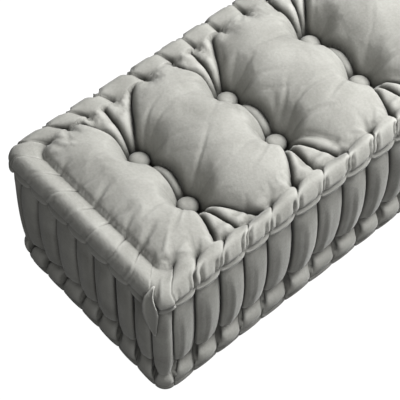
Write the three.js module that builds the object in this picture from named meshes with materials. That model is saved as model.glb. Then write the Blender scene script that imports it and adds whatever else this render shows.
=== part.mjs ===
// Tufted bench cushion: rolled edge, ribbed sides and covered buttons, in millimetres with +Z up
import * as THREE from 'three';

// Overall size between the outer seams
const LENGTH = 1160;
const WIDTH = 350;
const CORNER_RADIUS = 28;
const INNER_CORNER_RADIUS = 8;

// Tufting of the top
const BUTTON_COLUMNS = 6;
const BUTTON_COLUMN_PITCH = 170;
const BUTTON_ROW_OFFSET = 53;
const BUTTON_FLOOR_HEIGHT = 206;
const BUTTON_FLOOR_RADIUS = 22;
const BUTTON_CLEARANCE = 0.3;
const BUTTON_SEGMENTS = 14;

// Crown of the top panel inside the rolled edge
const CROWN_HEIGHT = 284;
const PANEL_EDGE_HEIGHT = 258;
const PANEL_INSET = 40;
const PANEL_SHOULDER = 66;
const PANEL_ROUNDNESS = 2;

// Folds of the top: depth below the crown at each end, the reach to either side and the flat before it
const FOLDS = {
  pit: { depth: 78, reach: 36, floor: 25 },
  valley: { depth: 68, middleDepth: 47, reach: 76, floor: 0 },
  fan: { depth: 60, edgeDepth: 16, reach: 40, floor: 0 },
};
const FOLD_ROUNDNESS = 1.5;
const FAN_PINCHES = 3;
const FAN_SHIFT = 8;

// Rib widths along the front and back from the corner to the middle, and along an end from the front corner
const FRONT_RIB_WIDTHS = [38, 45, 45, 45, 49, 50, 50, 50, 47, 47, 44, 42];
const BACK_RIB_WIDTHS = [47, 44, 51, 62, 56, 48, 49, 55, 50, 45, 45];
const END_RIB_WIDTHS = [41, 44, 46, 41, 45, 39, 38];
const RIB_SAMPLES = 4;
const CORNER_SAMPLES = 6;

// Section of the padded side from the base to the fold inside the roll.
// inset and height are at a rib's crest, pinchIn and pinchUp are added at the stitched valley between
// two ribs, cornerInset is the crest of the corner rib, lean is the slant of the stitch along the side
const SIDE_SECTION = [
  { part: 'base_edge', inset: 30, height: 0, pinchIn: 0, pinchUp: 0, cornerInset: 30, lean: 0 },
  { part: 'base_seam', inset: 8, height: 5, pinchIn: 3, pinchUp: 0, cornerInset: 9, lean: 0 },
  { part: 'lower_roll_foot', inset: 4, height: 17, pinchIn: 10, pinchUp: 0, cornerInset: 7, lean: 0 },
  { part: 'lower_roll', inset: 0.5, height: 32, pinchIn: 17, pinchUp: 0, cornerInset: 4, lean: 0 },
  { part: 'lower_roll_top', inset: 6, height: 47, pinchIn: 20, pinchUp: 2, cornerInset: 5, lean: 0 },
  { part: 'rib_foot', inset: 22, height: 57, pinchIn: 8, pinchUp: 4, cornerInset: 7, lean: 0 },
  { part: 'rib_low', inset: 7, height: 69, pinchIn: 18, pinchUp: 1, cornerInset: 6, lean: 2 },
  { part: 'rib_middle', inset: 2, height: 140, pinchIn: 22, pinchUp: 0, cornerInset: 4, lean: 6 },
  { part: 'rib_high', inset: 7, height: 208, pinchIn: 20, pinchUp: 0, cornerInset: 6, lean: 2 },
  { part: 'rib_neck', inset: 18, height: 227, pinchIn: 9, pinchUp: -1, cornerInset: 9, lean: 0 },
  { part: 'lip', inset: 0, height: 230, pinchIn: 6, pinchUp: 5, cornerInset: 0, lean: 0 },
  { part: 'roll_low', inset: 1.5, height: 248, pinchIn: 4, pinchUp: -1, cornerInset: 2, lean: 3 },
  { part: 'roll_shoulder', inset: 5.5, height: 260, pinchIn: 2, pinchUp: -3, cornerInset: 7, lean: 6 },
  { part: 'roll_top', inset: 18, height: 268, pinchIn: 0, pinchUp: -5, cornerInset: 18, lean: 9 },
  { part: 'roll_inner', inset: 31, height: 265, pinchIn: -2, pinchUp: -10, cornerInset: 31, lean: 11 },
  { part: 'roll_crease', inset: 40, height: 258, pinchIn: -12, pinchUp: -13, cornerInset: 39, lean: 12 },
];
const LEAN_FADE = 80;

// Profile of a covered button from the foot of its shank to the top of its dome
const BUTTON_PROFILE = [
  { part: 'shank_foot', radius: 6, height: 0 },
  { part: 'shank_neck', radius: 6, height: 4 },
  { part: 'rim_under', radius: 14.5, height: 6 },
  { part: 'rim', radius: 16, height: 8.5 },
  { part: 'rim_upper', radius: 15, height: 11.5 },
  { part: 'dome', radius: 10.5, height: 14.5 },
  { part: 'dome_upper', radius: 5.5, height: 16 },
];
const BUTTON_DOME_HEIGHT = 16.5;

// Lines of the top panel's grid either side of a button column and across the width
const GRID_COLUMN_OFFSETS = [-58, -34, -19, -9, 0, 9, 19, 34, 58, 85];
const GRID_END_OFFSETS = [-97, -80];
const GRID_HALF_ROWS = [0, 17, 34, 44, 53, 62, 72, 90, 108];

const SIDE_COUNT = 4;
const QUARTER_TURN = Math.PI / 2;
const halfLength = LENGTH / 2;
const halfWidth = WIDTH / 2;

const group = new THREE.Group();
group.name = 'bench_cushion';

const velvet = new THREE.MeshStandardMaterial({ color: 0xa9aaa5, roughness: 0.95, metalness: 0 });

// Round pillow profile: 0 at a stitched valley, 1 at the crest between two valleys
function crestAt(fraction) {
  const offset = 2 * fraction - 1;
  return Math.sqrt(1 - offset * offset);
}

// Drop of a fold at a share of its reach: 1 in the fold, 0 at the end of the reach
function foldDrop(share, roundness = FOLD_ROUNDNESS) {
  const rest = 1 - THREE.MathUtils.clamp(share, 0, 1);
  return 1 - (1 - rest ** roundness) ** (1 / roundness);
}

// Distances of the stitched valleys from the start of a side
function valleyPositions(widths) {
  const positions = [CORNER_RADIUS];
  for (const width of widths) positions.push(positions.at(-1) + width);
  return positions;
}

const frontValleys = valleyPositions([...FRONT_RIB_WIDTHS, ...FRONT_RIB_WIDTHS.toReversed()]);
const backValleys = valleyPositions([...BACK_RIB_WIDTHS, ...BACK_RIB_WIDTHS.toReversed()]);
const endValleys = valleyPositions(END_RIB_WIDTHS);
const turnedEndValleys = endValleys.map((distance) => WIDTH - distance).reverse();
const sideValleys = [frontValleys, endValleys, backValleys, turnedEndValleys];

// Stations round the cushion, counter-clockwise from the front side: ribs, then the corner after them
function makeStations() {
  const stations = [];
  sideValleys.forEach((valleys, side) => {
    const sideLength = side % 2 === 0 ? LENGTH : WIDTH;
    const straightHalf = sideLength / 2 - CORNER_RADIUS;
    for (let rib = 0; rib + 1 < valleys.length; rib++) {
      for (let sample = 0; sample < RIB_SAMPLES; sample++) {
        const fraction = sample / RIB_SAMPLES;
        const distance = THREE.MathUtils.lerp(valleys[rib], valleys[rib + 1], fraction);
        const along = (distance - sideLength / 2) / straightHalf;
        stations.push({ side, along, turn: 0, crest: crestAt(fraction), corner: false });
      }
    }
    for (let sample = 0; sample < CORNER_SAMPLES; sample++) {
      const turn = sample / CORNER_SAMPLES;
      stations.push({ side, along: 1, turn, crest: crestAt(turn), corner: true });
    }
  });
  return stations;
}

// Point of one section row at one station
function sectionPoint(row, station) {
  const valley = 1 - station.crest;
  const crestInset = station.corner ? row.cornerInset : row.inset;
  const inset = THREE.MathUtils.lerp(crestInset, row.inset + row.pinchIn, valley);
  const height = row.height + row.pinchUp * valley;
  const radius = Math.max(CORNER_RADIUS - inset, INNER_CORNER_RADIUS);
  const alongHalf = (station.side % 2 === 0 ? halfLength : halfWidth) - inset;
  const acrossHalf = (station.side % 2 === 0 ? halfWidth : halfLength) - inset;
  const straight = alongHalf - radius;
  const toCorner = straight * (1 - Math.abs(station.along));
  const lean = row.lean * Math.min(toCorner / LEAN_FADE, 1);
  const angle = station.turn * QUARTER_TURN;
  const along = station.along * straight + lean + radius * Math.sin(angle);
  const across = -acrossHalf + radius * (1 - Math.cos(angle));
  const point = new THREE.Vector2(along, across);
  point.rotateAround(new THREE.Vector2(), station.side * QUARTER_TURN);
  return new THREE.Vector3(point.x, point.y, height);
}

const columnXs = Array.from(
  { length: BUTTON_COLUMNS },
  (_, column) => (column - (BUTTON_COLUMNS - 1) / 2) * BUTTON_COLUMN_PITCH,
);

// Places where the roll is stitched on the long side that a button row faces, nearest to its column first
function fanPinches(columnX, facing) {
  const valleys = facing < 0 ? frontValleys : backValleys;
  const lean = SIDE_SECTION.at(-1).lean;
  const places = valleys.map((distance) => -facing * (distance - halfLength + lean));
  const middle = columnX + FAN_SHIFT;
  places.sort((a, b) => Math.abs(a - middle) - Math.abs(b - middle));
  return places.slice(0, FAN_PINCHES);
}

// Folds of the top panel as straight runs with a depth at each end
function makeFolds() {
  const folds = [];
  const edge = halfWidth - PANEL_INSET;
  const { pit, valley, fan } = FOLDS;
  for (const x of columnXs) {
    const middle = new THREE.Vector2(x, 0);
    for (const facing of [-1, 1]) {
      const button = new THREE.Vector2(x, facing * BUTTON_ROW_OFFSET);
      folds.push({ start: button, end: middle, from: valley.depth, to: valley.middleDepth, ...valley });
      folds.push({ start: button, end: button, from: pit.depth, to: pit.depth, ...pit });
      for (const pinchX of fanPinches(x, facing)) {
        const pinch = new THREE.Vector2(pinchX, facing * edge);
        folds.push({ start: button, end: pinch, from: fan.depth, to: fan.edgeDepth, ...fan });
      }
    }
  }
  return folds;
}

const folds = makeFolds();

// Height of the top panel: the crown less the deepest fold near the point
function panelHeight(x, y) {
  for (const columnX of columnXs) {
    const toButton = Math.hypot(x - columnX, Math.abs(y) - BUTTON_ROW_OFFSET);
    if (toButton <= BUTTON_FLOOR_RADIUS) return BUTTON_FLOOR_HEIGHT;
  }
  const toEnd = halfLength - PANEL_INSET - Math.abs(x);
  const toSide = halfWidth - PANEL_INSET - Math.abs(y);
  const endRise = 1 - foldDrop(toEnd / PANEL_SHOULDER, PANEL_ROUNDNESS);
  const sideRise = 1 - foldDrop(toSide / PANEL_SHOULDER, PANEL_ROUNDNESS);
  const rise = endRise * sideRise;
  const crown = THREE.MathUtils.lerp(PANEL_EDGE_HEIGHT, CROWN_HEIGHT, rise);
  const place = new THREE.Vector2(x, y);
  let drop = 0;
  for (const fold of folds) {
    const run = fold.end.clone().sub(fold.start);
    const length = run.length();
    const share = length > 0 ? place.clone().sub(fold.start).dot(run) / (length * length) : 0;
    const along = THREE.MathUtils.clamp(share, 0, 1);
    const distance = place.distanceTo(fold.start.clone().addScaledVector(run, along)) - fold.floor;
    const depth = THREE.MathUtils.lerp(fold.from, fold.to, along);
    drop = Math.max(drop, depth * foldDrop(distance / fold.reach));
  }
  return crown - drop;
}

// Joins two runs of points that go the same way along a side, outer to inner
function zipRuns(outer, inner, position, triangles) {
  let o = 0;
  let i = 0;
  while (o + 1 < outer.length || i + 1 < inner.length) {
    const nextOuter = o + 1 < outer.length ? position(outer[o + 1]) : Infinity;
    const nextInner = i + 1 < inner.length ? position(inner[i + 1]) : Infinity;
    if (nextOuter <= nextInner) {
      triangles.push(outer[o], outer[o + 1], inner[i]);
      o++;
    } else {
      triangles.push(outer[o], inner[i + 1], inner[i]);
      i++;
    }
  }
}

function makeCushion() {
  const points = [];
  const triangles = [];
  const stations = makeStations();
  const count = stations.length;

  // Padded side, one ring of points for each section row
  for (const row of SIDE_SECTION) {
    for (const station of stations) points.push(sectionPoint(row, station));
  }
  for (let ring = 0; ring + 1 < SIDE_SECTION.length; ring++) {
    for (let station = 0; station < count; station++) {
      const next = (station + 1) % count;
      const a = ring * count + station;
      const b = ring * count + next;
      const c = (ring + 1) * count + next;
      const d = (ring + 1) * count + station;
      triangles.push(a, b, c, a, c, d);
    }
  }

  // Flat base
  const baseOutline = points.slice(0, count).map((p) => new THREE.Vector2(p.x, p.y));
  for (const [a, b, c] of THREE.ShapeUtils.triangulateShape(baseOutline, [])) triangles.push(a, c, b);

  // Tufted top panel
  const gridXs = columnXs.flatMap((x) => GRID_COLUMN_OFFSETS.map((offset) => x + offset));
  gridXs.pop();
  gridXs.unshift(...GRID_END_OFFSETS.map((offset) => columnXs[0] + offset));
  gridXs.push(...GRID_END_OFFSETS.map((offset) => columnXs.at(-1) - offset).reverse());
  const gridYs = [...GRID_HALF_ROWS.slice(1).reverse().map((y) => -y), ...GRID_HALF_ROWS];
  const gridStart = points.length;
  const gridIndex = (column, row) => gridStart + row * gridXs.length + column;
  for (const y of gridYs) {
    for (const x of gridXs) points.push(new THREE.Vector3(x, y, panelHeight(x, y)));
  }
  for (let row = 0; row + 1 < gridYs.length; row++) {
    for (let column = 0; column + 1 < gridXs.length; column++) {
      const a = gridIndex(column, row);
      const b = gridIndex(column + 1, row);
      const c = gridIndex(column + 1, row + 1);
      const d = gridIndex(column, row + 1);
      triangles.push(a, b, c, a, c, d);
    }
  }

  // Strip between the roll's inner fold and the grid, side by side from corner to corner
  const lastColumn = gridXs.length - 1;
  const lastRow = gridYs.length - 1;
  const gridSides = [
    gridXs.map((_, column) => gridIndex(column, 0)),
    gridYs.map((_, row) => gridIndex(lastColumn, row)),
    gridXs.map((_, column) => gridIndex(lastColumn - column, lastRow)),
    gridYs.map((_, row) => gridIndex(0, lastRow - row)),
  ];
  const creaseStart = (SIDE_SECTION.length - 1) * count;
  const cornerMiddles = stations
    .map((station, index) => (station.corner && station.turn === 0.5 ? index : -1))
    .filter((index) => index >= 0);
  for (let side = 0; side < SIDE_COUNT; side++) {
    const first = cornerMiddles[(side + SIDE_COUNT - 1) % SIDE_COUNT];
    const last = cornerMiddles[side];
    const outer = [];
    for (let index = first; index !== last; index = (index + 1) % count) outer.push(creaseStart + index);
    outer.push(creaseStart + last);
    const heading = new THREE.Vector3(1, 0, 0).applyAxisAngle(new THREE.Vector3(0, 0, 1), side * QUARTER_TURN);
    zipRuns(outer, gridSides[side], (index) => points[index].dot(heading), triangles);
  }

  const geometry = new THREE.BufferGeometry().setFromPoints(points);
  geometry.setIndex(triangles);
  geometry.computeVertexNormals();
  return geometry;
}

function makeButton() {
  const points = [new THREE.Vector3(0, 0, 0)];
  const triangles = [];
  const ringStart = (ring) => 1 + ring * BUTTON_SEGMENTS;
  for (const { radius, height } of BUTTON_PROFILE) {
    for (let segment = 0; segment < BUTTON_SEGMENTS; segment++) {
      const angle = (segment / BUTTON_SEGMENTS) * Math.PI * 2;
      points.push(new THREE.Vector3(radius * Math.cos(angle), radius * Math.sin(angle), height));
    }
  }
  const top = points.push(new THREE.Vector3(0, 0, BUTTON_DOME_HEIGHT)) - 1;
  const lastRing = BUTTON_PROFILE.length - 1;
  for (let segment = 0; segment < BUTTON_SEGMENTS; segment++) {
    const next = (segment + 1) % BUTTON_SEGMENTS;
    triangles.push(0, ringStart(0) + next, ringStart(0) + segment);
    for (let ring = 0; ring < lastRing; ring++) {
      const a = ringStart(ring) + segment;
      const b = ringStart(ring) + next;
      const c = ringStart(ring + 1) + next;
      const d = ringStart(ring + 1) + segment;
      triangles.push(a, b, c, a, c, d);
    }
    triangles.push(ringStart(lastRing) + segment, ringStart(lastRing) + next, top);
  }
  const geometry = new THREE.BufferGeometry().setFromPoints(points);
  geometry.setIndex(triangles);
  geometry.computeVertexNormals();
  return geometry;
}

const cushion = new THREE.Mesh(makeCushion(), velvet);
cushion.name = 'cushion';
group.add(cushion);

const rows = [
  { name: 'front', y: -BUTTON_ROW_OFFSET },
  { name: 'back', y: BUTTON_ROW_OFFSET },
];
for (const row of rows) {
  columnXs.forEach((x, column) => {
    const button = new THREE.Mesh(makeButton(), velvet.clone());
    button.name = `button_${row.name}_${column + 1}`;
    button.position.set(x, row.y, BUTTON_FLOOR_HEIGHT + BUTTON_CLEARANCE);
    group.add(button);
  });
}

export default group;
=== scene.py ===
import math
from collections import namedtuple

import bpy
import numpy as np
from bpy.props import FloatProperty, FloatVectorProperty, IntProperty, PointerProperty
from mathutils import Matrix, Vector, geometry


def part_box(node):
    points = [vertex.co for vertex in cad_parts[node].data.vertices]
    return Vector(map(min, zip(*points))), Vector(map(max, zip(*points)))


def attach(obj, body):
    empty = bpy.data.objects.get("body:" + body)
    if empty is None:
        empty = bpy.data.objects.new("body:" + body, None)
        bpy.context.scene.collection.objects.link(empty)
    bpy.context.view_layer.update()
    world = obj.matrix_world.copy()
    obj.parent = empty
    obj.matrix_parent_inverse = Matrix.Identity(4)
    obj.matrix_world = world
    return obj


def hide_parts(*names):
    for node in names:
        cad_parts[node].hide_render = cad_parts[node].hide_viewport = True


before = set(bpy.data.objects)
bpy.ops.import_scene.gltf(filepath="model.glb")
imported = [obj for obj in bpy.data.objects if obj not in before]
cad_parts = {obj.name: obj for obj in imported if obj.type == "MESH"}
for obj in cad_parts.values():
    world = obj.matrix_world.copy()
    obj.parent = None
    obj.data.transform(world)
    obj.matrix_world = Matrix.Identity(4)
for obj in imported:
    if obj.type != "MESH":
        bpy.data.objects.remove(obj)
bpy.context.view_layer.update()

bl_info = {
    "name": "Tufted bench cushion",
    "version": (1, 0, 0),
    "blender": (4, 5, 0),
    "location": "3D View > Sidebar > Cushion",
    "description": "Dresses the cushion's frame in a sewn velvet cover with covered buttons",
    "category": "Object",
}

MM = 0.001
QUARTER = math.pi / 2

# Rows of the padded side. Sizes are millimetres: inset and height at a rib's crest, pinch_in and pinch_up
# added in the stitched valley, corner the inset of the corner rib, lean the slant of the stitch, sharp the
# power that narrows the pinch
Row = namedtuple("Row", "part inset height pinch_in pinch_up corner lean sharp")

LOWER_ROLL = (
    Row("base_edge", 30, 0, 0, 0, 30, 0, 1.0),
    Row("base_turn", 14, 1, 2, 0, 16, 0, 1.0),
    Row("base_lip", 7, 5, 3, 0, 8, 0, 1.0),
    Row("base_stitch", 12, 11, 5, 0, 11, 0, 1.0),
    Row("plump_foot", 6, 18, 8, 0, 7, 0, 0.9),
    Row("plump_middle", 2, 31, 13, 0, 4, 2, 0.75),
    Row("plump_top", 6, 45, 20, 2, 5, 2, 0.65),
    Row("rib_foot", 24, 57, 8, 4, 7, 0, 1.0),
)
RIB = (
    Row("rib_foot", 24, 57, 8, 4, 7, 0, 1.0),
    Row("rib_low", 9, 67, 20, 2, 6, 1.5, 0.6),
    Row("rib_lower", 3, 94, 23, 0, 4.5, 4, 0.5),
    Row("rib_middle", 0.5, 140, 24, 0, 4, 6, 0.5),
    Row("rib_upper", 3, 182, 23, 0, 5, 4.5, 0.5),
    Row("rib_high", 9, 210, 21, 0, 6, 2, 0.55),
    Row("rib_neck", 21, 227, 9, -1, 9, 0, 1.0),
)
LIP = (
    Row("rib_neck", 21, 227, 9, -1, 9, 0, 1.0),
    Row("lip_under", 5, 225, 10, 9, 5, 0, 0.9),
    Row("lip_edge", 0.4, 228, 7, 8, 0.6, 0, 0.9),
    Row("lip_face", 0, 235, 4, 2, 0, 0, 0.9),
    Row("seam", 4.5, 240, 3, -1, 4.5, 0, 0.9),
)
ROLL = (
    Row("seam", 4.5, 240, 1.5, 0, 4.5, 0, 1.2),
    Row("roll_low", 0.8, 247, 1.5, 0, 1.5, 3, 1.0),
    Row("roll_shoulder", 5.5, 259, 0, 0, 7, 6, 0.8),
    Row("roll_top", 16, 267, 0, -1, 18, 9, 0.5),
    Row("roll_inner", 29, 265, -3, -9, 31, 11, 0.4),
    Row("roll_crease", 40, 259, -8, -21, 39, 12, 0.35),
)
BANDS = (
    (LOWER_ROLL, 17),
    (RIB, 24),
    (LIP, 7),
    (ROLL, 19),
)

# Rib widths along a long side from the corner to the middle, and along an end from the front corner
LONG_RIB_WIDTHS = (38, 45, 45, 45, 49, 50, 50, 50, 47, 47, 44, 42)
BACK_RIB_WIDTHS = (47, 44, 51, 62, 56, 48, 49, 55, 50, 45, 45)
END_RIB_WIDTHS = (41, 44, 46, 41, 45, 39, 38)
RIB_SAMPLES = (18, 13, 10, 14)
CORNER_SAMPLES = 18
CLUSTER = 0.6
LEAN_FADE = 80
CORNER_SHARP = 0.5
CORNER_SLACK = 0.75
CORNER_SLACK_REACH = 26
INNER_CORNER = 20
FOOT_HOLLOW = 5.0
FOOT_NUB = 4.0
TUCK_SLANT = 8
PLEAT_RAISE = 1.2
SWELL_LOW = 20
SWELL_HIGH = 225
ROLL_GATHER = np.array((1.0, 0.2, 1.0, 0.2))
CREASE_LIFT = np.array((12, 0, 16, 0))
FAN_SINK = np.array((3, 0, -8, 0))
ROLL_SQUEEZE = np.array((0.32, 0, 0, 0))
BACK_DIP = 4
SQUEEZE_FADE = 30
FAN_ZONE = 42


# Folds sewn into the top, from each button to the roll's pinches
FRONT_FAN = {"count": 3, "shift": 8, "depth": 20, "edge_depth": 15, "reach": 7, "edge_reach": 13}
BACK_FAN = {"count": 3, "shift": 8, "depth": 20, "edge_depth": 15, "reach": 7, "edge_reach": 15}
FAN_BOW = 0.06
BRIDGE_EDGES = (
    {"bow": -4, "depth": 9, "reach": 15},
    {"bow": 18, "depth": 7, "reach": 12},
)

Fold = namedtuple("Fold", "path depth end_depth reach end_reach")


class CushionShape(bpy.types.PropertyGroup):
    """Sizes of the cushion, in millimetres"""

    length: FloatProperty(name="Length", description="Between the outer end seams", default=1160.0)
    width: FloatProperty(name="Width", description="Between the outer side seams", default=350.0)
    corner: FloatProperty(name="Corner", description="Radius of an upright corner", default=28.0)
    crown: FloatProperty(name="Crown", description="Height of the puffs of the top", default=284.0)
    shoulder: FloatProperty(name="Shoulder", description="Reach of the rise beside the roll", default=66.0)
    columns: IntProperty(name="Columns", description="Pairs of buttons down the length", default=6)
    pitch: FloatProperty(name="Pitch", description="Between two pairs of buttons", default=170.0)
    row: FloatProperty(name="Row", description="From the middle line to a row of buttons", default=53.0)
    pit: FloatProperty(name="Pit", description="Depth of a button below the crown", default=66.0)
    grid: FloatProperty(name="Grid", description="Spacing of the points of the top", default=3.1)


class VelvetFinish(bpy.types.PropertyGroup):
    """Colours and pile of the velvet"""

    pile: FloatVectorProperty(
        name="Pile", description="Colour of the pile", subtype="COLOR", default=(0.37, 0.368, 0.342)
    )
    shade: FloatVectorProperty(
        name="Shade",
        description="Colour where the pile is brushed away",
        subtype="COLOR",
        default=(0.2, 0.198, 0.18),
    )
    # Painted shade: this colour is mixed into folds and hollows by ambient occlusion and by concave
    # bending, standing in for the shade there
    painted_fold_shade: FloatVectorProperty(
        name="Crushed",
        description="Colour of the pile in a fold",
        subtype="COLOR",
        default=(0.04, 0.039, 0.035),
    )
    # Painted highlight: this colour is mixed onto convex crests, standing in for light catching them
    painted_crest_highlight: FloatVectorProperty(
        name="Raised",
        description="Colour of the pile on a crest",
        subtype="COLOR",
        default=(0.47, 0.468, 0.438),
    )
    sheen: FloatProperty(name="Sheen", description="Bright edge of the pile", default=0.3, subtype="FACTOR")


class StageSetup(bpy.types.PropertyGroup):
    """Floor, light and camera"""

    floor: FloatVectorProperty(
        name="Floor", description="Colour of the floor", subtype="COLOR", default=(0.06, 0.06, 0.06)
    )
    glow: FloatProperty(name="Glow", description="Light of the floor as the camera sees it", default=1.0)
    key: FloatProperty(name="Key", description="Power of the overhead light", default=158.0, unit="POWER")
    fill: FloatProperty(name="Fill", description="Power of the low light", default=19.0, unit="POWER")
    ambient: FloatProperty(name="Ambient", description="Strength of the surrounding light", default=0.1)
    lens: FloatProperty(name="Lens", description="Focal length in millimetres", default=132.03)


def spline_rows(rows, count):
    """Rows of one band drawn through smoothly and sampled evenly along the crest"""
    keys = np.array([row[1:] for row in rows], float)
    chord = np.hypot(np.diff(keys[:, 0]), np.diff(keys[:, 1]))
    knots = np.concatenate(([0.0], np.cumsum(chord)))
    slopes = np.gradient(keys, knots, axis=0)
    places = np.linspace(0.0, knots[-1], count)
    index = np.clip(np.searchsorted(knots, places, side="right") - 1, 0, len(knots) - 2)
    span = (knots[index + 1] - knots[index])[:, None]
    t = ((places - knots[index]) / span[:, 0])[:, None]
    start = (2 * t**3 - 3 * t**2 + 1) * keys[index] + (t**3 - 2 * t**2 + t) * span * slopes[index]
    end = (-2 * t**3 + 3 * t**2) * keys[index + 1] + (t**3 - t**2) * span * slopes[index + 1]
    return start + end


def valley_places(widths, corner):
    """Distances of the stitched valleys from the start of a side"""
    return corner + np.concatenate(([0.0], np.cumsum(widths)))


def clustered(share):
    """Place of a sample across a rib, from 0 to 1, closer together beside the stitches"""
    return (1 - CLUSTER) * share + CLUSTER * (1 - math.cos(math.pi * share)) / 2


class Perimeter:
    """Stations round the cushion, counter-clockwise from the front side"""

    def __init__(self, shape):
        self.shape = shape
        long_valleys = valley_places(LONG_RIB_WIDTHS + LONG_RIB_WIDTHS[::-1], shape.corner)
        back_valleys = valley_places(BACK_RIB_WIDTHS + BACK_RIB_WIDTHS[::-1], shape.corner)
        end_valleys = valley_places(END_RIB_WIDTHS, shape.corner)
        turned = (shape.width - end_valleys)[::-1]
        self.valleys = (long_valleys, end_valleys, back_valleys, turned)
        columns = []
        pinch = 0
        for side, valleys in enumerate(self.valleys):
            length = shape.length if side % 2 == 0 else shape.width
            half_straight = length / 2 - shape.corner
            for start, stop in zip(valleys[:-1], valleys[1:]):
                for sample in range(RIB_SAMPLES[side]):
                    q = clustered(sample / RIB_SAMPLES[side])
                    place = start + (stop - start) * q
                    near = q * (stop - start) if q < 0.5 else (q - 1) * (stop - start)
                    along = (place - length / 2) / half_straight
                    nearest = pinch if q < 0.5 else pinch + 1
                    crest = 2 * math.sqrt(q * (1 - q))
                    columns.append((side, along, 0.0, crest, 0, q, near, nearest, pinch))
                pinch += 1
            arc = shape.corner * QUARTER
            for sample in range(CORNER_SAMPLES):
                turn = clustered(sample / CORNER_SAMPLES)
                near = turn * arc if turn < 0.5 else (turn - 1) * arc
                nearest = pinch if turn < 0.5 else pinch + 1
                crest = 2 * math.sqrt(turn * (1 - turn))
                columns.append((side, 1.0, turn, crest, 1, turn, near, nearest, pinch))
            pinch += 1
        data = np.array(columns).T
        self.side, self.along, self.turn, self.crest, self.corner, self.phase, self.near = data[:7]
        self.pinches = pinch
        self.nearest = data[7].astype(int) % pinch
        self.rib = data[8].astype(int)
        self.count = data.shape[1]
        straight = np.where(self.side % 2 == 0, shape.length, shape.width) / 2 - shape.corner
        self.from_corner = straight * (1 - np.abs(self.along))

    def place(self, rows, random, gather, squeeze):
        """Points of the given rows at every station, as an array of rows by stations by three"""
        shape = self.shape
        inset, height, pinch_in, pinch_up, corner, lean, sharp = (rows[:, [k]] for k in range(7))
        valley = 1 - self.crest[None, :] ** np.where(self.corner[None, :] > 0, CORNER_SHARP * sharp, sharp)
        valley = valley * random["depth"][self.nearest][None, :] * gather
        crest_inset = np.where(self.corner[None, :] > 0, corner, inset)
        inset_at = crest_inset + (inset + pinch_in - crest_inset) * valley
        swell = random["swell"][self.rib][None, :] * self.crest[None, :]
        inset_at = inset_at + swell * (height > SWELL_LOW) * (height < SWELL_HIGH)
        inset_at = inset_at * (1 - squeeze)
        height_at = height + pinch_up * valley
        radius = np.maximum(shape.corner - inset_at, INNER_CORNER)
        even = self.side[None, :] % 2 == 0
        straight = np.where(even, shape.length, shape.width) / 2 - inset_at - radius
        across_half = np.where(even, shape.width, shape.length) / 2 - inset_at
        fade = np.clip(straight * (1 - np.abs(self.along)) / LEAN_FADE, 0, 1)
        angle = self.turn[None, :] * QUARTER
        along = self.along * straight + lean * fade + radius * np.sin(angle)
        across = -across_half + radius * (1 - np.cos(angle))
        turn = self.side[None, :] * QUARTER
        x = along * np.cos(turn) - across * np.sin(turn)
        y = along * np.sin(turn) + across * np.cos(turn)
        return np.stack((x, y, height_at), axis=-1)

    def fan_zone(self):
        """1 at the stations beside a pair of buttons, fading to 0 beside a puff"""
        shape = self.shape
        x = self.along * (shape.length / 2 - shape.corner) * np.where(self.side == 0, 1, -1)
        places = column_places(shape) + FRONT_FAN["shift"] + 6
        return bell(np.abs(x[:, None] - places[None, :]).min(axis=1), FAN_ZONE)

    def roll_pinches(self, side):
        """Places along X where the roll is stitched on a long side"""
        lean = ROLL[-1].lean if side == 0 else -ROLL[-1].lean
        return self.valleys[side] - self.shape.length / 2 + lean


def surface_normals(points):
    """Outward normals of a ring surface, rows by stations"""
    around = np.roll(points, -1, axis=1) - np.roll(points, 1, axis=1)
    up = np.gradient(points, axis=0)
    normal = np.cross(around, up)
    return normal / np.maximum(np.linalg.norm(normal, axis=-1, keepdims=True), 1e-9)


def bell(distance, width):
    return np.exp(-((distance / width) ** 2))


def window(value, low, high, soft):
    """1 between low and high, fading to 0 over soft on either side"""
    rise = np.clip((value - low) / soft + 0.5, 0, 1)
    fall = np.clip((high - value) / soft + 0.5, 0, 1)
    return rise * rise * (3 - 2 * rise) * fall * fall * (3 - 2 * fall)


# Folded near corner: a flat tab over the roll, in millimetres round the corner, and a crease across the rib
TAB = {"start": 19, "stop": 45, "edge": 3, "raise": 3.5, "low": 232}
CORNER_CREASE = {"height": 48, "depth": 4, "reach": 4}
NEAR_CORNER = 3


def corner_relief(perimeter, height):
    """Relief of the folded cloth on an upright corner"""
    place = (perimeter.turn * perimeter.shape.corner * QUARTER)[None, :]
    tab = TAB["raise"] * window(place, TAB["start"], TAB["stop"], TAB["edge"]) * (height > TAB["low"])
    crease = CORNER_CREASE["depth"] * bell(height - CORNER_CREASE["height"], CORNER_CREASE["reach"])
    return perimeter.corner[None, :] * (tab * (perimeter.side == NEAR_CORNER)[None, :] - crease)


# Pointed end of the cloth that hangs at the near corner: height, turn in degrees, reach from the corner's
# middle line and half of its width, from its top to its tip
FLAP = np.array(
    (
        (269, 4, 15, 3.0),
        (258, 11, 26, 7.5),
        (245, 18, 30, 9.8),
        (230, 21, 31.5, 10.0),
        (212, 22, 31, 8.2),
        (192, 23, 29, 5.6),
        (175, 24, 27, 3.0),
        (163, 24, 25, 0.8),
    )
)
FLAP_ROWS = 22
FLAP_COLUMNS = 9
FLAP_THICKNESS = 2.5
FLAP_CURL = 4.0


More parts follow.
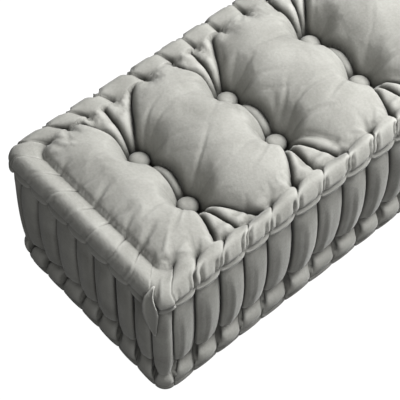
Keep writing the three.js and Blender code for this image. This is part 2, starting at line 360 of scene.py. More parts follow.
def corner_flap(shape):
    """Points and faces of the hanging flap, a thin closed leaf with its edges curled outward"""
    steps = np.linspace(0, len(FLAP) - 1, FLAP_ROWS)
    marks = np.arange(len(FLAP))
    height, turn, reach, half = (np.interp(steps, marks, FLAP[:, k])[:, None] for k in range(4))
    across = np.linspace(-1, 1, FLAP_COLUMNS)[None, :]
    angle = np.radians(turn) + across * half / shape.corner
    sheets = []
    for depth in (0.0, FLAP_THICKNESS):
        radius = reach - depth + FLAP_CURL * (half / FLAP[:, 3].max()) * across**2
        x = shape.corner - shape.length / 2 - radius * np.cos(angle)
        y = shape.corner - shape.width / 2 - radius * np.sin(angle)
        sheets.append(np.stack((x, y, height + 0 * x), axis=-1).reshape(-1, 3))
    rows, columns = len(steps), FLAP_COLUMNS
    back = rows * columns
    faces = []
    for row in range(rows - 1):
        for column in range(columns - 1):
            a = row * columns + column
            faces.append((a, a + columns, a + columns + 1, a + 1))
            faces.append((back + a, back + a + 1, back + a + columns + 1, back + a + columns))
    rim = list(range(columns))
    rim += [row * columns + columns - 1 for row in range(1, rows)]
    rim += [(rows - 1) * columns + k for k in range(columns - 2, -1, -1)]
    rim += [row * columns for row in range(rows - 2, 0, -1)]
    for first, second in zip(rim, rim[1:] + rim[:1]):
        faces.append((first, second, back + second, back + first))
    return np.concatenate(sheets), faces


def side_points(perimeter, random):
    """Rings of the padded side from the base to the fold inside the roll, with pleats and puckers"""
    bands = []
    for number, (rows, count) in enumerate(BANDS):
        sampled = spline_rows(rows, count)
        side = perimeter.side.astype(int)
        slack = 1 - CORNER_SLACK * bell(perimeter.from_corner, CORNER_SLACK_REACH)
        gather = ROLL_GATHER[side] * slack if rows is ROLL else 1.0
        share = np.linspace(0, 1, count)[:, None]
        narrow = ROLL_SQUEEZE[side] * (1 - bell(perimeter.from_corner, SQUEEZE_FADE))
        squeeze = narrow[None, :] * share if rows is ROLL else 0.0
        points = perimeter.place(sampled, random, gather, squeeze)
        near = perimeter.near[None, :]
        phase = perimeter.phase[None, :]
        nearest = perimeter.nearest
        relief = np.zeros(points.shape[:2])
        if rows is RIB:
            amount = random["pleat"][perimeter.rib][None, :] * (1 - perimeter.corner[None, :])
            place = random["pleat_place"][perimeter.rib][None, :]
            tall = window(share, 0.06, 0.72, 0.3)
            relief -= amount * tall * bell(phase - place, 0.07)
            relief += PLEAT_RAISE * amount * tall * bell(phase - place - 0.14, 0.09)
        if rows is ROLL:
            for offset, width, size in zip(random["tuck"].T, random["tuck_width"].T, random["tuck_size"].T):
                slant = near - offset[nearest][None, :] - TUCK_SLANT * (share - 0.25)
                reach = window(share, 0.06, random["tuck_reach"][nearest][None, :], 0.2)
                relief -= size[nearest][None, :] * gather * reach * bell(slant, width[nearest][None, :])
            fan = perimeter.fan_zone()
            lift = CREASE_LIFT[side] * (1 - fan) - FAN_SINK[side] * fan
            points[..., 2] += lift * (side % 2 == 0) * (1 - perimeter.corner) * perimeter.crest * share**3
            dip = (1 - perimeter.crest**0.6) * slack * (side == 2) * (1 - perimeter.corner)
            points[..., 2] -= BACK_DIP * dip * window(share, 0.3, 1.5, 0.4)
        if rows is LOWER_ROLL:
            hollow = window(share, 0.6, 0.95, 0.2) * bell(near - 2, 5)
            relief -= FOOT_HOLLOW * hollow
            nub = window(share, 0.3, 0.45, 0.14) * bell(near - 3, 5)
            relief += FOOT_NUB * random["nub"][nearest][None, :] * nub
        fade = window(share, -1, 0.62, 0.4) if rows is ROLL else 1.0
        relief = relief + corner_relief(perimeter, points[..., 2]) * fade
        points = points + surface_normals(points) * relief[..., None]
        bands.append(points if number == 0 else points[1:])
    return np.concatenate(bands, axis=0)


def fold_distance(fold, points):
    """Distance, direction and share along the nearest point of a fold's path"""
    best = np.full(len(points), np.inf)
    toward = np.zeros_like(points)
    share = np.zeros(len(points))
    path = fold.path
    steps = len(path) - 1
    for step in range(steps):
        start, run = path[step], path[step + 1] - path[step]
        t = np.clip(((points - start) @ run) / max(run @ run, 1e-9), 0, 1)
        offset = start + t[:, None] * run - points
        distance = np.hypot(offset[:, 0], offset[:, 1])
        closer = distance < best
        best = np.where(closer, distance, best)
        toward[closer] = offset[closer]
        share = np.where(closer, (step + t) / steps, share)
    unit = toward / np.maximum(best, 1e-6)[:, None]
    return best, unit, share


def arc_path(start, end, bow, count=8):
    """Path from start to end, bowed sideways by bow at its middle"""
    start, end = np.array(start, float), np.array(end, float)
    run = end - start
    normal = np.array((-run[1], run[0])) / np.hypot(*run)
    t = np.linspace(0, 1, count)[:, None]
    return start + run * t + normal * bow * 4 * t * (1 - t)


def column_places(shape):
    return (np.arange(shape.columns) - (shape.columns - 1) / 2) * shape.pitch


def top_folds(shape, perimeter):
    """Sewn folds of the top: a fan from each button to the roll and the two edges of each bridge"""
    folds = []
    edges = shape.width / 2 - (ROLL[-1].inset + ROLL[-1].pinch_in) * (1 - ROLL_SQUEEZE)
    for x in column_places(shape):
        for side, facing, fan in ((0, -1, FRONT_FAN), (2, 1, BACK_FAN)):
            pinches = perimeter.roll_pinches(side)
            order = np.argsort(np.abs(pinches - x - fan["shift"]))
            for pinch in pinches[order[: fan["count"]]]:
                bow = facing * FAN_BOW * (pinch - x)
                path = arc_path((x, facing * shape.row), (pinch, facing * edges[side]), bow)
                folds.append(Fold(path, fan["depth"], fan["edge_depth"], fan["reach"], fan["edge_reach"]))
        for bridge in BRIDGE_EDGES:
            path = arc_path((x, shape.row), (x, -shape.row), bridge["bow"], 12)
            folds.append(Fold(path, bridge["depth"], bridge["depth"], bridge["reach"], bridge["reach"]))
    return folds


# Ranges of the soft wrinkles that run out from the buttons and from the roll, and how they fan out
BUTTON_WRINKLE = {"depth": (1.2, 3.4), "reach": (3.6, 4.6), "end_reach": (5, 8)}
ROLL_WRINKLE = {"depth": (2.0, 5.0), "reach": (4, 5), "end_reach": (6, 9)}
BUTTON_WRINKLE_START = 20
LONG_SPREADS = (-1.1, -0.55, 0.0, 0.55, 1.1)
END_SPREADS = (-0.4, 0.5)


def soft_wrinkle(path, sizes, rng):
    """Wrinkle along a path that fades out at its far end"""
    depth, reach, end_reach = (rng.uniform(*sizes[name]) for name in ("depth", "reach", "end_reach"))
    return Fold(path, depth, 0, reach, end_reach)


def fine_wrinkles(shape, perimeter, loop, random):
    """Short soft wrinkles that run out from the buttons and from the roll's pinches"""
    rng = random["rng"]
    wrinkles = []
    for x in column_places(shape):
        for facing in (-1, 1):
            for angle in np.linspace(0, 2 * math.pi, 13)[:-1] + rng.uniform(-0.2, 0.2, 12):
                heading = np.array((math.cos(angle), math.sin(angle)))
                start = np.array((x, facing * shape.row)) + heading * BUTTON_WRINKLE_START
                path = arc_path(start, start + heading * rng.uniform(45, 110), rng.uniform(-9, 9), 5)
                wrinkles.append(soft_wrinkle(path, BUTTON_WRINKLE, rng))
    starts = np.flatnonzero(perimeter.near == 0)
    for station in starts:
        point = loop[station, :2]
        if perimeter.side[station] % 2 == 0:
            inward, spreads = np.array((0, -np.sign(point[1]))), LONG_SPREADS
        else:
            inward, spreads = np.array((-np.sign(point[0]), 0)), END_SPREADS
        for spread in spreads:
            turn = spread + rng.uniform(-0.25, 0.25)
            heading = np.array(
                (
                    inward[0] * math.cos(turn) - inward[1] * math.sin(turn),
                    inward[0] * math.sin(turn) + inward[1] * math.cos(turn),
                )
            )
            path = arc_path(point, point + heading * rng.uniform(16, 48), rng.uniform(-4, 4), 5)
            wrinkles.append(soft_wrinkle(path, ROLL_WRINKLE, rng))
    return wrinkles


# Hollow between two puffs, from the near roll over both buttons to the far roll: depth below the crown,
# shift of its middle line along the cushion, and half of its width
HOLLOW = np.array(
    (
        # across, depth, shift, half
        (-1.00, 14, 14, 38),
        (-0.76, 27, 11, 26),
        (-0.59, 38, 6, 15),
        (-0.42, 52, 1, 9),
        (-0.28, 52, 5, 9),
        (0.00, 46, 8, 10),
        (0.28, 52, 5, 9),
        (0.42, 52, 1, 9),
        (0.59, 34, 4, 15),
        (0.76, 18, 8, 26),
        (1.00, 8, 10, 38),
    )
)
FOLD_HOLD = 0.7
ROLL_HOLD = 0.5
HOLLOW_REACH = 74
HOLLOW_POWER = 1.9
PIT_RADIUS = 15
DROP_ONSET = 1.6
TOP_UNEVEN = 0.6
TOP_UNEVEN_LENGTH = 120
STEEP_POWER = 2.1
FLOW_POWER = 2.3
FLOW_START = 45
FLOW_FADE = 70
PIT_REACH = 44


def rounded(share, power):
    """Fall of a padded edge: 1 at the fold, 0 at the end of its reach, steep first"""
    rest = 1 - np.clip(share, 0, 1)
    return 1 - (1 - rest**power) ** (1 / power)


def broad_drop(shape, points):
    """Hollow of the buttons and of the bands between the puffs, without the sewn folds"""
    edge = shape.width / 2 - ROLL[-1].inset
    across = points[:, 1] / edge
    depth, shift, half = (np.interp(across, HOLLOW[:, 0], HOLLOW[:, k]) for k in (1, 2, 3))
    total = np.zeros(len(points))
    for x in column_places(shape):
        beside = np.abs(points[:, 0] - x - shift) - half
        drop = depth * rounded(beside / HOLLOW_REACH, HOLLOW_POWER)
        for facing in (-1, 1):
            radius = np.hypot(points[:, 0] - x, points[:, 1] - facing * shape.row)
            pit = shape.pit * (1 - np.clip((radius - PIT_RADIUS) / PIT_REACH, 0, 1)) ** 2
            drop = (drop**3 + pit**3) ** (1 / 3)
        total = np.maximum(total, drop)
    return total


def value_noise(points, scale, seed):
    """Smooth noise from a few slanted waves, about -1 to 1"""
    rng = np.random.default_rng(seed)
    total = np.zeros(len(points))
    for _ in range(7):
        angle = rng.uniform(0, 2 * math.pi)
        length = scale * rng.uniform(0.7, 1.6)
        wave = (points[:, 0] * math.cos(angle) + points[:, 1] * math.sin(angle)) / length
        total += np.sin(2 * math.pi * wave + rng.uniform(0, 2 * math.pi))
    return total / 3.5


def top_points(shape, perimeter, loop, random):
    """Points and triangles of the tufted top inside the fold of the roll"""
    half_x, half_y = shape.length / 2, shape.width / 2
    step = shape.grid
    xs = np.arange(-half_x + 26, half_x - 26, step)
    ys = np.arange(-half_y + 26, half_y - 26, step * 0.9)
    grid_x, grid_y = np.meshgrid(xs, ys)
    grid_x = grid_x + (np.arange(len(ys)) % 2)[:, None] * step / 2
    grid = np.stack((grid_x.ravel(), grid_y.ravel()), axis=1)
    outline = loop[:, :2]
    following = np.roll(outline, -1, axis=0)
    distance = np.empty(len(grid))
    beside = np.empty(len(grid), int)
    inside = np.zeros(len(grid), bool)
    for first in range(0, len(grid), 3000):
        part = grid[first : first + 3000]
        gap = np.hypot(part[:, None, 0] - outline[None, :, 0], part[:, None, 1] - outline[None, :, 1])
        beside[first : first + 3000] = gap.argmin(axis=1)
        distance[first : first + 3000] = gap.min(axis=1)
        above = (outline[None, :, 1] > part[:, None, 1]) != (following[None, :, 1] > part[:, None, 1])
        rise = following[:, 1] - outline[:, 1]
        rise = np.where(np.abs(rise) < 1e-9, 1e-9, rise)
        along = (part[:, None, 1] - outline[None, :, 1]) / rise
        cut = outline[None, :, 0] + along * (following - outline)[:, 0]
        inside[first : first + 3000] = (above & (part[:, None, 0] < cut)).sum(axis=1) % 2 == 1
    keep = inside & (distance > 0.7 * step)
    points, distance, edge_z = grid[keep], distance[keep], loop[beside[keep], 2]

    count = len(outline)
    corners = [Vector(p) for p in np.concatenate((outline, points))]
    edges = [(k, (k + 1) % count) for k in range(count)]
    found = geometry.delaunay_2d_cdt(corners, edges, [], 1, 1e-4)
    if len(found[0]) != len(corners):
        raise RuntimeError("the points of the top don't join up with the roll")
    origin = np.array([source[0] for source in found[3]])
    triangles = [tuple(origin[k] for k in face) for face in found[2]]

    rest = 1 - np.clip(distance / shape.shoulder, 0, 1)
    inner = np.clip((half_x - FLOW_START - np.abs(points[:, 0])) / FLOW_FADE, 0, 1)
    steep = (1 - rest**STEEP_POWER) ** (1 / STEEP_POWER)
    rise = steep + (1 - rest**FLOW_POWER - steep) * inner * inner * (3 - 2 * inner)
    height = edge_z + (shape.crown - edge_z) * rise
    height = height - broad_drop(shape, points) * np.clip(rise * DROP_ONSET, 0, 1)

    deepest = np.zeros(len(points))
    weight = np.full(len(points), 1e-6)
    shift = np.zeros_like(points)
    for fold in top_folds(shape, perimeter):
        low, high = fold.path.min(axis=0) - 30, fold.path.max(axis=0) + 30
        local = np.flatnonzero(((points >= low) & (points <= high)).all(axis=1))
        gap, toward, share = fold_distance(fold, points[local])
        depth = fold.depth + (fold.end_depth - fold.depth) * share
        reach = fold.reach + (fold.end_reach - fold.reach) * share
        flat = 0.5 * step
        angle = QUARTER * np.clip((gap - flat) / (reach - flat), 0, 1)
        drop = depth * (1 - np.sin(angle))
        move = gap - reach * (1 - np.cos(QUARTER * np.clip(gap / reach, 0, 1)))
        move = np.where(gap < reach, move, 0)
        pull = np.expm1(drop / 3.0)
        deepest[local] = np.maximum(deepest[local], drop)
        weight[local] += pull
        shift[local] += (pull * move)[:, None] * toward
    height = height - deepest
    soft = np.zeros(len(points))
    for wrinkle in fine_wrinkles(shape, perimeter, loop, random):
        low, high = wrinkle.path.min(axis=0) - 16, wrinkle.path.max(axis=0) + 16
        local = np.flatnonzero(((points >= low) & (points <= high)).all(axis=1))
        gap, _, share = fold_distance(wrinkle, points[local])
        depth = wrinkle.depth * (1 - share) ** 0.8
        reach = wrinkle.reach + (wrinkle.end_reach - wrinkle.reach) * share
        soft[local] += depth * (1 - np.clip(gap / reach, 0, 1)) ** 1.5
    height = height - soft + TOP_UNEVEN * value_noise(points, TOP_UNEVEN_LENGTH, 5) * rise
    floor = shape.crown - shape.pit - 8
    placed = points + shift / weight[:, None]
    held = np.clip((deepest - 0.8 * FRONT_FAN["depth"]) / (0.2 * FRONT_FAN["depth"]), 0, 1) * FOLD_HOLD
    for x in column_places(shape):
        for facing in (-1, 1):
            radius = np.hypot(points[:, 0] - x, points[:, 1] - facing * shape.row)
            held = np.where(radius < PIT_RADIUS, 1, held)
    return np.column_stack((placed, np.maximum(height, floor))), triangles, held


def base_faces(outline):
    """Triangles of the flat base inside its outline"""
    count = len(outline)
    corners = [Vector(p) for p in outline]
    edges = [(k, (k + 1) % count) for k in range(count)]
    found = geometry.delaunay_2d_cdt(corners, edges, [], 1, 1e-4)
    origin = np.array([source[0] for source in found[3]])
    return [tuple(origin[k] for k in reversed(face)) for face in found[2]]


def uneven(pinches):
    """Seeded unevenness of a hand-sewn cover"""
    rng = np.random.default_rng(11)
    return {
        "rng": rng,
        "depth": rng.uniform(0.8, 1.1, pinches),
        "swell": rng.uniform(-1.5, 2.5, pinches),
        "pleat": rng.uniform(0.5, 1.2, pinches),
        "pleat_place": rng.uniform(0.2, 0.34, pinches),
        "nub": rng.uniform(0, 1, pinches),
        "tuck": rng.normal((-9.0, -2.0, 5.0), 1.6, (pinches, 3)),
        "tuck_width": rng.uniform(1.6, 2.4, (pinches, 3)),
        "tuck_size": rng.uniform(3.0, 9.0, (pinches, 3)),
        "tuck_reach": rng.uniform(0.35, 0.6, pinches),
    }


FILLING = 4.0
SPARE_CLOTH = 0.008
SETTLE_FRAMES = 10
SETTLE_CAP = 9.0
FOLD_BLUR = 1
FOLD_CURVATURE = 150.0


def new_piece(name, points, faces):
    mesh = bpy.data.meshes.new(name)
    mesh.from_pydata((np.asarray(points) * MM).tolist(), [], faces)
    mesh.validate()
    mesh.shade_smooth()
    piece = bpy.data.objects.new(name, mesh)
    bpy.context.scene.collection.objects.link(piece)
    return piece


def settle(points, faces, held):
    """Lets pressure fill the stitched cloth; held gives each point's hold, 1 where it is sewn down"""
    piece = new_piece("settling", points, faces)
    group = piece.vertex_groups.new(name="held")
    levels = np.round(held * 10).astype(int)
    for level in range(1, 11):
        group.add(np.flatnonzero(levels == level).tolist(), level / 10, "REPLACE")
    cloth = piece.modifiers.new("filling", "CLOTH")
    settings = cloth.settings
    settings.quality = 5
    settings.mass = 0.3
    settings.tension_stiffness = 15
    settings.compression_stiffness = 15
    settings.shear_stiffness = 5
    settings.bending_stiffness = 0.3
    settings.use_pressure = True
    settings.uniform_pressure_force = FILLING
    settings.shrink_min = -SPARE_CLOTH
    settings.vertex_group_mass = "held"
    settings.effector_weights.gravity = 0
    scene = bpy.context.scene
    cloth.point_cache.frame_start = 1
    cloth.point_cache.frame_end = SETTLE_FRAMES
    for number in range(1, SETTLE_FRAMES + 1):
        scene.frame_set(number)
    result = piece.evaluated_get(bpy.context.evaluated_depsgraph_get())
    settled = np.empty(len(points) * 3, np.float32)
    result.data.vertices.foreach_get("co", settled)
    settled = settled.reshape(-1, 3).astype(float) / MM
    scene.frame_set(1)
    mesh = piece.data
    bpy.data.objects.remove(piece)
    bpy.data.meshes.remove(mesh)
    move = settled - points
    size = np.linalg.norm(move, axis=1, keepdims=True)
    return points + move * SETTLE_CAP * np.tanh(size / SETTLE_CAP) / np.maximum(size, 1e-6)


def mark_folds(piece):
    """Keeps how sharply the surface bends at each point: over 0 on a crest, under 0 in a fold; the velvet
    colour takes painted shade in the folds and a painted highlight on the crests from it
    """
    mesh = piece.data
    points = np.empty(len(mesh.vertices) * 3, np.float32)
    normals = np.empty_like(points)
    mesh.vertices.foreach_get("co", points)
    mesh.vertex_normals.foreach_get("vector", normals)
    points, normals = points.reshape(-1, 3).astype(float), normals.reshape(-1, 3).astype(float)
    pairs = np.empty(len(mesh.edges) * 2, np.int32)
    mesh.edges.foreach_get("vertices", pairs)
    first, second = pairs.reshape(-1, 2).T
    run = points[second] - points[first]
    length = np.maximum(np.linalg.norm(run, axis=1), 1e-6)
    bend = np.einsum("ij,ij->i", normals[second] - normals[first], run) / length
    count = len(points)
    total = np.bincount(first, bend, count) + np.bincount(second, bend, count)
    spans = np.bincount(first, length, count) + np.bincount(second, length, count)
    bend = total / np.maximum(spans, 1e-6)
    degree = np.bincount(first, minlength=count) + np.bincount(second, minlength=count)
    for _ in range(FOLD_BLUR):
        around = np.bincount(first, bend[second], count) + np.bincount(second, bend[first], count)
        bend = 0.4 * bend + 0.6 * around / np.maximum(degree, 1)
    layer = mesh.attributes.new("fold", "FLOAT", "POINT")
    layer.data.foreach_set("value", np.tanh(bend / FOLD_CURVATURE).astype(np.float32))


def pile_group():
    """Shader group: colour and height of a short velvet pile, with painted shade in folds and hollows and a
    painted highlight on crests
    """
    name = "velvet_pile"
    if name in bpy.data.node_groups:
        return bpy.data.node_groups[name]
    group = bpy.data.node_groups.new(name, "ShaderNodeTree")
    face = group.interface
    for label in ("Pile", "Shade", "Crushed", "Raised"):
        face.new_socket(label, in_out="INPUT", socket_type="NodeSocketColor")
    for label in ("Color", "Height"):
        kind = "NodeSocketColor" if label == "Color" else "NodeSocketFloat"
        face.new_socket(label, in_out="OUTPUT", socket_type=kind)
    nodes, links = group.nodes, group.links
    given, put = nodes.new("NodeGroupInput"), nodes.new("NodeGroupOutput")
    place = nodes.new("ShaderNodeTexCoord")
    brushed, fibre, grain = (nodes.new("ShaderNodeTexNoise") for _ in range(3))
    for node, scale, detail in ((brushed, 14.0, 5.0), (fibre, 260.0, 3.0), (grain, 1300.0, 2.0)):
        node.inputs["Scale"].default_value = scale
        node.inputs["Detail"].default_value = detail
        links.new(place.outputs["Object"], node.inputs["Vector"])
    brushed.inputs["Distortion"].default_value = 0.6
    spread = nodes.new("ShaderNodeMapRange")
    spread.inputs["From Min"].default_value = 0.3
    spread.inputs["From Max"].default_value = 0.7
    links.new(brushed.outputs["Fac"], spread.inputs["Value"])
    fleck = nodes.new("ShaderNodeMath")
    fleck.operation = "MULTIPLY_ADD"
    fleck.inputs[1].default_value = 0.9
    links.new(fibre.outputs["Fac"], fleck.inputs[0])
    links.new(spread.outputs["Result"], fleck.inputs[2])
    half = nodes.new("ShaderNodeMath")
    half.operation = "MULTIPLY"
    half.inputs[1].default_value = 0.55
    half.use_clamp = True
    links.new(fleck.outputs["Value"], half.inputs[0])
    mix = nodes.new("ShaderNodeMix")
    mix.data_type = "RGBA"
    links.new(half.outputs["Value"], mix.inputs["Factor"])
    links.new(given.outputs["Shade"], mix.inputs["A"])
    links.new(given.outputs["Pile"], mix.inputs["B"])
    bend = nodes.new("ShaderNodeAttribute")
    bend.attribute_name = "fold"
    # Painted shade: ambient occlusion darkens the colour toward the painted fold shade in hollows and pits
    deep = nodes.new("ShaderNodeAmbientOcclusion")
    deep.samples = 8
    deep.inputs["Distance"].default_value = 0.03
    # Painted highlight on convex crests from the bending; painted shade in hollows from ambient occlusion
    hollow, crest = nodes.new("ShaderNodeMapRange"), nodes.new("ShaderNodeMapRange")
    ranges = (
        (hollow, 0.85, 0.1, deep.outputs["AO"]),
        (crest, 0.1, 0.75, bend.outputs["Fac"]),
    )
    for node, near, far, source in ranges:
        node.inputs["From Min"].default_value = near
        node.inputs["From Max"].default_value = far
        links.new(source, node.inputs["Value"])
    # Painted shade: concave folds darken toward the painted fold shade
    creased = nodes.new("ShaderNodeMapRange")
    creased.inputs["From Min"].default_value = -0.3
    creased.inputs["From Max"].default_value = -1.0
    creased.inputs["To Max"].default_value = 0.8
    links.new(bend.outputs["Fac"], creased.inputs["Value"])
    last = mix
    # Mixes in the painted highlight on crests, then painted shade in hollows and in folds
    for node, label in ((crest, "Raised"), (hollow, "Crushed"), (creased, "Crushed")):
        tint = nodes.new("ShaderNodeMix")
        tint.data_type = "RGBA"
        links.new(node.outputs["Result"], tint.inputs["Factor"])
        links.new(last.outputs["Result"], tint.inputs["A"])
        links.new(given.outputs[label], tint.inputs["B"])
        last = tint
    links.new(last.outputs["Result"], put.inputs["Color"])
    height = nodes.new("ShaderNodeMath")
    height.operation = "MULTIPLY_ADD"
    height.inputs[1].default_value = 0.6
    links.new(grain.outputs["Fac"], height.inputs[0])
    links.new(fibre.outputs["Fac"], height.inputs[2])
    links.new(height.outputs["Value"], put.inputs["Height"])
    return group


def velvet_material(name, finish):
    """Short-pile velvet with a brushed nap and a bright edge, its colour holding painted shade in folds and
    hollows and a painted highlight on crests
    """
    material = bpy.data.materials.new(name)
    material.use_nodes = True
    nodes, links = material.node_tree.nodes, material.node_tree.links
    shader = nodes["Principled BSDF"]
    shader.inputs["Roughness"].default_value = 0.92
    shader.inputs["Specular IOR Level"].default_value = 0.15
    shader.inputs["Sheen Weight"].default_value = finish.sheen
    shader.inputs["Sheen Roughness"].default_value = 0.38
    shader.inputs["Sheen Tint"].default_value = (0.95, 0.96, 0.94, 1)
    pile = nodes.new("ShaderNodeGroup")
    pile.node_tree = pile_group()
    pile.inputs["Pile"].default_value = (*finish.pile, 1)
    pile.inputs["Shade"].default_value = (*finish.shade, 1)
    pile.inputs["Crushed"].default_value = (*finish.painted_fold_shade, 1)
    pile.inputs["Raised"].default_value = (*finish.painted_crest_highlight, 1)
    links.new(pile.outputs["Color"], shader.inputs["Base Color"])
    bump = nodes.new("ShaderNodeBump")
    bump.inputs["Strength"].default_value = 0.5
    bump.inputs["Distance"].default_value = 0.0009
    links.new(pile.outputs["Height"], bump.inputs["Height"])
    links.new(bump.outputs["Normal"], shader.inputs["Normal"])
    return material


class CUSHION_OT_cover(bpy.types.Operator):
    """Sews the velvet cover: base, lower roll, ribbed sides, rolled edge and tufted top"""

    bl_idname = "cushion.cover"
    bl_label = "Velvet cover"

    def execute(self, context):
        shape = context.scene.cushion_shape
        perimeter = Perimeter(shape)
        random = uneven(perimeter.pinches)
        rings = side_points(perimeter, random)
        row_count, count = rings.shape[:2]
        loop = rings[-1]
        top, triangles, top_held = top_points(shape, perimeter, loop, random)
        points = np.concatenate((rings.reshape(-1, 3), top))
        faces = []
        for row in range(row_count - 1):
            low, high = row * count, (row + 1) * count
            for k in range(count):
                n = (k + 1) % count
                faces.append((low + k, low + n, high + n, high + k))
        last = (row_count - 1) * count
        faces.extend(tuple(last + k for k in face) for face in triangles)
        first = (row_count - BANDS[-1][1]) * count
        held = np.zeros(len(points) - first)
        held[: last - first + count] = ROLL_HOLD
        held[:count] = 1
        held[last - first + np.flatnonzero(perimeter.crest < 0.3)] = 1
        held[last - first + count :] = top_held
        cloth = [tuple(k - first for k in face) for face in faces if min(face) >= first]
        points[first:] = settle(points[first:], cloth, held)
        faces.extend(base_faces(rings[0, :, :2]))
        flap, flap_faces = corner_flap(shape)
        faces.extend(tuple(k + len(points) for k in face) for face in flap_faces)
        points = np.concatenate((points, flap))
        cover = new_piece("velvet_cover", points, faces)
        mark_folds(cover)
        cover.data.materials.append(velvet_material("cover_velvet", context.scene.velvet_finish))
        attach(cover, "root")
        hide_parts("cushion")
        return {"FINISHED"}


BUTTON_PROFILE = (
    (0.0, 0.0), (5.5, 0.0), (5.8, 3.0), (9.0, 4.8), (13.5, 5.4), (15.6, 6.6), (16.2, 8.4),
    (15.6, 10.4), (13.8, 12.6), (10.6, 14.6), (6.6, 15.9), (3.0, 16.4), (0.0, 16.5),
)
BUTTON_SEGMENTS = 48
BUTTON_LIFT = 6.0


class CUSHION_OT_buttons(bpy.types.Operator):
    """Makes the covered dome buttons"""

    bl_idname = "cushion.buttons"
    bl_label = "Covered buttons"

    def execute(self, context):
        material = velvet_material("button_velvet", context.scene.velvet_finish)
        names = sorted(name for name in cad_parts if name.startswith("button"))
        rng = np.random.default_rng(23)
        for name in names:
            low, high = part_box(name)
            centre = (np.array(low) + np.array(high)) / 2 / MM
            foot = low[2] / MM + BUTTON_LIFT
            points = [(centre[0], centre[1], foot)]
            lift = rng.uniform(0, 2 * math.pi, 2)
            for radius, height in BUTTON_PROFILE[1:-1]:
                for segment in range(BUTTON_SEGMENTS):
                    angle = 2 * math.pi * segment / BUTTON_SEGMENTS
                    gather = 0.35 * math.sin(12 * angle + lift[0]) * (3 < height < 9)
                    rise = height + 0.25 * math.sin(2 * angle + lift[1]) * (height > 8)
                    reach = radius + gather
                    x, y = centre[0] + reach * math.cos(angle), centre[1] + reach * math.sin(angle)
                    points.append((x, y, foot + rise))
            points.append((centre[0], centre[1], foot + BUTTON_PROFILE[-1][1]))
            rings = len(BUTTON_PROFILE) - 2
            faces = []
            for k in range(BUTTON_SEGMENTS):
                n = (k + 1) % BUTTON_SEGMENTS
                faces.append((0, 1 + n, 1 + k))
                for ring in range(rings - 1):
                    low_ring, high_ring = 1 + ring * BUTTON_SEGMENTS, 1 + (ring + 1) * BUTTON_SEGMENTS
                    faces.append((low_ring + k, low_ring + n, high_ring + n, high_ring + k))
                last = 1 + (rings - 1) * BUTTON_SEGMENTS
                faces.append((last + k, last + n, len(points) - 1))
            button = new_piece("covered_" + name, points, faces)
            mark_folds(button)
            button.data.materials.append(material)
            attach(button, "root")
            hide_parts(name)
        return {"FINISHED"}


# Half of the floor in millimetres, and the camera in degrees and metres
FLOOR_REACH = 6000
CAMERA_YAW = -41.3145
CAMERA_PITCH = 54.3584
CAMERA_TARGET = (-0.3002, 0.0623, 0.0)
CAMERA_DISTANCE = 2.3407


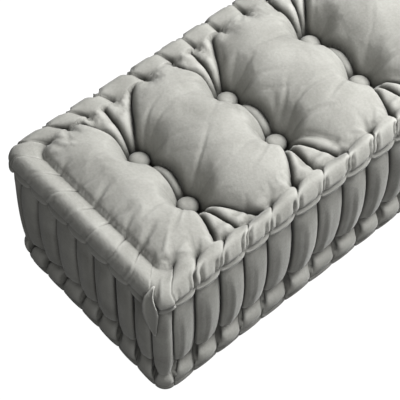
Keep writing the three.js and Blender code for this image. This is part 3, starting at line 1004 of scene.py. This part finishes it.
class CUSHION_OT_stage(bpy.types.Operator):
    """Sets the floor, the light and the camera"""

    bl_idname = "cushion.stage"
    bl_label = "Stage"

    def execute(self, context):
        scene = context.scene
        setup = scene.stage_setup
        corners = [(x * FLOOR_REACH, y * FLOOR_REACH, 0) for x, y in ((-1, -1), (1, -1), (1, 1), (-1, 1))]
        floor = new_piece("floor", corners, [(0, 1, 2, 3)])
        pale = bpy.data.materials.new("pale_floor")
        pale.use_nodes = True
        nodes, links = pale.node_tree.nodes, pale.node_tree.links
        shader = nodes["Principled BSDF"]
        shader.inputs["Base Color"].default_value = (*setup.floor, 1)
        shader.inputs["Roughness"].default_value = 0.9
        shader.inputs["Emission Color"].default_value = (1, 1, 1, 1)
        ray = nodes.new("ShaderNodeLightPath")
        glow = nodes.new("ShaderNodeMath")
        glow.operation = "MULTIPLY"
        glow.inputs[1].default_value = setup.glow
        links.new(ray.outputs["Is Camera Ray"], glow.inputs[0])
        links.new(glow.outputs["Value"], shader.inputs["Emission Strength"])
        floor.data.materials.append(pale)

        world = bpy.data.worlds.new("soft_room")
        world.use_nodes = True
        sky = world.node_tree.nodes["Background"]
        sky.inputs["Color"].default_value = (1, 1, 1, 1)
        sky.inputs["Strength"].default_value = setup.ambient
        scene.world = world

        lamps = (
            ("key", (1.2, -0.6, 2.4), (-0.2, 0.0, 0.2), 1.3, setup.key),
            ("fill", (-1.6, -1.8, 1.6), (-0.3, 0.0, 0.1), 1.6, setup.fill),
        )
        for name, place, target, size, power in lamps:
            data = bpy.data.lights.new(name, "AREA")
            data.size = size
            data.energy = power
            lamp = bpy.data.objects.new(name, data)
            lamp.location = place
            lamp.rotation_euler = (Vector(target) - Vector(place)).to_track_quat("-Z", "Y").to_euler()
            scene.collection.objects.link(lamp)

        data = bpy.data.cameras.new("camera")
        data.sensor_fit = "HORIZONTAL"
        data.sensor_width = 36.0
        data.lens = setup.lens
        camera = bpy.data.objects.new("camera", data)
        yaw, pitch = math.radians(CAMERA_YAW), math.radians(CAMERA_PITCH)
        right = Vector((math.cos(yaw), math.sin(yaw), 0))
        level = math.cos(pitch)
        ahead = Vector((-math.sin(yaw) * level, math.cos(yaw) * level, -math.sin(pitch)))
        above = right.cross(ahead)
        turned = Matrix((right, above, -ahead)).transposed().to_4x4()
        target = Vector(CAMERA_TARGET)
        camera.matrix_world = Matrix.Translation(target - ahead * CAMERA_DISTANCE) @ turned
        scene.collection.objects.link(camera)
        scene.camera = camera
        scene.view_settings.view_transform = "Standard"
        return {"FINISHED"}


class CUSHION_PT_panel(bpy.types.Panel):
    """Lists the steps that dress the cushion"""

    bl_idname = "CUSHION_PT_panel"
    bl_label = "Tufted bench cushion"
    bl_space_type = "VIEW_3D"
    bl_region_type = "UI"
    bl_category = "Cushion"

    def draw(self, context):
        for step in STEPS:
            self.layout.operator(step.bl_idname)


STEPS = (CUSHION_OT_cover, CUSHION_OT_buttons, CUSHION_OT_stage)
GROUPS = {"cushion_shape": CushionShape, "velvet_finish": VelvetFinish, "stage_setup": StageSetup}


def register():
    for kind in (*GROUPS.values(), *STEPS, CUSHION_PT_panel):
        bpy.utils.register_class(kind)
    for name, kind in GROUPS.items():
        setattr(bpy.types.Scene, name, PointerProperty(type=kind))


def unregister():
    for name in GROUPS:
        delattr(bpy.types.Scene, name)
    for kind in reversed((*GROUPS.values(), *STEPS, CUSHION_PT_panel)):
        bpy.utils.unregister_class(kind)


def main():
    register()
    bpy.ops.cushion.cover()
    bpy.ops.cushion.buttons()
    bpy.ops.cushion.stage()


if __name__ == "__main__":
    main()
